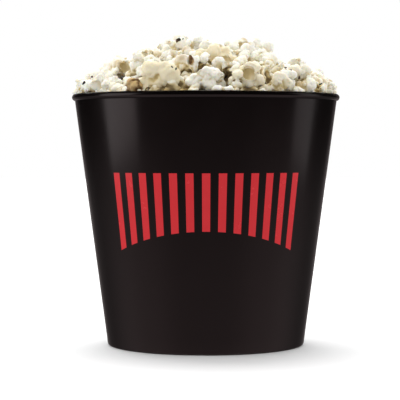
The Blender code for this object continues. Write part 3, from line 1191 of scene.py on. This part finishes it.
@dataclass(frozen=True)
class Hulls:
    """What is left of the kernels' skins: curled flaps, shards under the flakes and dark bits."""

    camera: Vector
    seed: int = 90
    skin: float = 0.22 * MM
    warp: float = 0.35
    ragged: float = 0.12
    slant: tuple[float, float, float] = (0.25, 0.1, 1.0)
    skin_cut: float = -0.15
    shard_share: float = 0.12
    shard_cuts: Pair = (-0.85, -0.6)
    shard_lift: float = 0.15 * MM
    tip_sizes: Pair = (0.6, 1.1)
    tip_uneven: float = 0.5
    tip_flat: float = 0.5
    sunk: float = 0.2

    def shard(self, bm: BMesh, radius: float, cut: float, placement: Matrix) -> None:
        """Adds a curved flap of skin with an uneven edge.

        Args:
            bm: the bmesh to add to.
            radius: the radius that it is curved to.
            cut: the height below which the ball it is cut from stays, as a share of the radius.
            placement: where it goes.
        """
        made = bmesh.new()
        bmesh.ops.create_icosphere(made, subdivisions=4, radius=radius)
        for vert in made.verts:
            vert.co.z += self.warp * radius * noise.noise(vert.co.xyz * (1.1 / radius))
        geometry = made.verts[:] + made.edges[:] + made.faces[:]
        up = Vector(self.slant).normalized()
        low = up * radius * cut
        bmesh.ops.bisect_plane(made, geom=geometry, plane_co=low, plane_no=up, clear_outer=True)
        for vert in made.verts:
            vert.co *= 1 + self.ragged * noise.noise(vert.co * (2.2 / radius))
        bmesh.ops.recalc_face_normals(made, faces=made.faces)
        bmesh.ops.solidify(made, geom=made.faces, thickness=self.skin)
        bmesh.ops.transform(made, matrix=placement, verts=made.verts)
        pour(bm, mesh_of(made, "shard"))

    def tip(self, bm: BMesh, placement: Matrix) -> None:
        """Adds a dark bit, an uneven flat lump 2 mm across before it is placed.

        Args:
            bm: the bmesh to add to.
            placement: where it goes.
        """
        made = bmesh.new()
        bmesh.ops.create_icosphere(made, subdivisions=3, radius=1 * MM)
        shift = placement.translation * 200
        for vert in made.verts:
            vert.co *= 1 + self.tip_uneven * noise.noise(vert.co * 1100 + shift)
            vert.co.z *= self.tip_flat
        bmesh.ops.transform(made, matrix=placement, verts=made.verts)
        pour(bm, mesh_of(made, "tip"))

    def seen_point(self, x: float, z: float) -> tuple[Vector, Vector] | None:
        """Where the camera sees a point of the heap.

        Args:
            x: the point's place across, in millimetres, over the bucket's axis.
            z: its height.

        Returns:
            The place and the normal there, or None where there is no popcorn.
        """
        graph = bpy.context.evaluated_depsgraph_get()
        way = (Vector((x * MM, 0, z * MM)) - self.camera).normalized()
        hit, place, normal, _, piece, _ = bpy.context.scene.ray_cast(graph, self.camera, way)
        return (place, normal) if hit and piece.name.startswith("popcorn") else None

    def add_specks(self, bm: BMesh) -> None:
        """Lays the dark bits that show at the front, partly sunk in the flakes.

        Args:
            bm: the bmesh to add to.
        """
        for speck in SPECKS:
            found = self.seen_point(speck.x, speck.z)
            if found is None:
                continue
            place, normal = found
            turn = normal.to_track_quat("Z", "Y").to_matrix().to_4x4()
            turn = turn @ Matrix.Rotation(math.radians(speck.turn), 4, "Z")
            size = Matrix.Diagonal((speck.length, speck.length * speck.stretch, speck.length, 1.0))
            down = Matrix.Translation(place - normal * self.sunk * speck.length * speck.stretch * MM)
            self.tip(bm, down @ turn @ size)

    def add_skins(self, bm: BMesh) -> None:
        """Sets the curled flaps that show at the front, their lower edges among the flakes.

        Args:
            bm: the bmesh to add to.
        """
        for skin in SKINS:
            found = self.seen_point(skin.x, skin.z)
            if found is None:
                continue
            radius = skin.radius * MM
            across, near, up = skin.facing
            turn = Vector((across, -near, up)).to_track_quat("-Z", "Y").to_matrix().to_4x4()
            middle = Matrix.Translation(found[0] + Vector((0, skin.back * radius, 0)))
            self.shard(bm, radius, self.skin_cut, middle @ turn)

    def build(self, flakes: list[Flake]) -> None:
        """Builds both kinds of hull.

        Args:
            flakes: those that may have a shard under them.
        """
        draw = random.Random(self.seed)
        amber, dark = bmesh.new(), bmesh.new()
        for flake in flakes:
            body = FlakeForm(flake.form).lobes()[0].to_scale().z
            if draw.random() < self.shard_share:
                self.shard(amber, body + self.shard_lift, draw.uniform(*self.shard_cuts), flake.placement)
                size = Matrix.Scale(draw.uniform(*self.tip_sizes), 4)
                self.tip(dark, flake.placement @ Matrix.Translation((0, 0, -body)) @ size)
        self.add_specks(dark)
        self.add_skins(amber)
        for name, bm, kind in (("hull_skins", amber, HullKind.AMBER), ("hull_tips", dark, HullKind.DARK)):
            piece = add_piece(name, mesh_of(bm, name), KernelHull(kind).material())
            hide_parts("popcorn")


class Softbox(NamedTuple):
    """A rectangular light that faces the bucket's axis."""

    name: str
    azimuth: float
    distance: float
    height: float
    width: float
    tall: float
    brightness: float


@dataclass(frozen=True)
class Studio:
    """Floor, surroundings, lights and camera."""

    camera_place: Vector = field(default_factory=lambda: Vector((-4.1 * MM, -1182.5 * MM, 141.4 * MM)))
    camera_drop: float = math.radians(1.87)
    lens: float = 149.2
    sensor: float = 36.0
    floor_radius: float = 6.0
    softboxes: tuple[Softbox, ...] = (
        Softbox("left_softbox", -75.5, 0.50, 0.26, 0.31, 0.44, 0.93),
        Softbox("right_softbox", 90, 0.50, 0.26, 0.21, 0.44, 0.45),
    )
    aim_height: float = 0.2
    front_sky: float = 0.78
    sky_rise: float = 0.48
    ground: float = 0.95
    mirrored_table: float = 0.30
    mirrored_backdrop: float = 0.18
    mirrored_tint: Colour = (1.0, 0.86, 0.86)
    sun_azimuth: float = math.radians(-172)
    sun_height: float = math.radians(66)
    sun_width: float = math.radians(45)
    sun_strength: float = 2.2

    def floor(self) -> None:
        """A round white floor, left out of reflections."""
        bm = bmesh.new()
        bmesh.ops.create_circle(bm, cap_ends=True, radius=self.floor_radius, segments=64)
        floor = new_object("studio_floor", mesh_of(bm, "studio_floor"))
        floor.data.materials.append(FloorPaint().material())
        floor.visible_glossy = False
        floor.visible_diffuse = False

    def world(self) -> None:
        """White surroundings, bright behind the bucket and dim in front, and pure white to the camera."""
        world = bpy.data.worlds.new("studio")
        bpy.context.scene.world = world
        graph = Graph(world)
        way = graph.node("ShaderNodeTexCoord")[0]
        side, depth, up = graph.node("ShaderNodeSeparateXYZ", {}, {0: way})
        sky = self.front_sky + self.sky_rise * (0.85 * depth + 0.05 * side).step(-0.7, 0.7)
        soft = self.ground + up.step(-0.2, 0.3) * (sky - self.ground)
        slope = up / (0.5001 - 0.5 * depth) ** 0.5
        table = self.mirrored_table + 0.11 * depth.step(-0.9, -0.5) - 0.34 * depth.step(-0.1, 0.75)
        backdrop = self.mirrored_backdrop * depth.step(0.85, 1.0)
        gloss = 0.01 + backdrop + table * (1 - slope.step(-0.325, -0.235))
        path = graph.node("ShaderNodeLightPath")
        seen, reflected = path[0], path[3]
        strength = seen + (1 - seen) * (soft + reflected * (gloss - soft))
        colour = graph.mix(reflected, (1.0, 1.0, 1.0), self.mirrored_tint)
        shader = graph.node("ShaderNodeBackground", {}, {"Color": colour, "Strength": strength})[0]
        graph.node("ShaderNodeOutputWorld", {}, {"Surface": shader})

    def light(self, box: Softbox) -> None:
        """Adds one softbox.

        Args:
            box: what it is and where it stands.
        """
        data = bpy.data.lights.new(box.name, "AREA")
        data.shape = "RECTANGLE"
        data.size, data.size_y = box.width, box.tall
        data.energy = box.brightness * math.pi * box.width * box.tall
        light = new_object(box.name, data)
        turn = math.radians(box.azimuth)
        light.location = (box.distance * math.sin(turn), -box.distance * math.cos(turn), box.height)
        aim = Vector((0, 0, self.aim_height)) - light.location
        light.rotation_euler = aim.to_track_quat("-Z", "Y").to_euler()
        light.visible_camera = False

    def sun(self) -> None:
        """The soft main light, from high up and nearly straight behind, left out of reflections."""
        data = bpy.data.lights.new("main_light", "SUN")
        data.angle = self.sun_width
        data.energy = self.sun_strength
        light = new_object("main_light", data)
        flat = math.cos(self.sun_height)
        level = (flat * math.sin(self.sun_azimuth), -flat * math.cos(self.sun_azimuth))
        way = Vector((*level, math.sin(self.sun_height)))
        light.rotation_euler = way.to_track_quat("Z", "Y").to_euler()
        light.visible_glossy = False

    def camera(self) -> None:
        """The camera, nearly level with the bucket and a little above its middle."""
        data = bpy.data.cameras.new("camera")
        data.lens = self.lens
        data.sensor_width = self.sensor
        camera = new_object("camera", data)
        camera.location = self.camera_place
        camera.rotation_euler = (math.pi / 2 - self.camera_drop, 0, 0)
        bpy.context.scene.camera = camera

    def build(self) -> None:
        """Builds the studio."""
        self.floor()
        self.world()
        for box in self.softboxes:
            self.light(box)
        self.sun()
        self.camera()
        bpy.context.scene.view_settings.view_transform = "Standard"


def main() -> None:
    """Builds every piece in order."""
    logging.basicConfig(level=logging.INFO, format="%(message)s")
    studio = Studio()
    bucket = Bucket()
    bucket.build()
    StripePanel(bucket).build()
    heap = Heap(bucket)
    flakes = heap.build()
    Hulls(studio.camera_place).build(flakes[len(FRONT_FLAKES) : heap.count])
    studio.build()


if __name__ == "__main__":
    main()
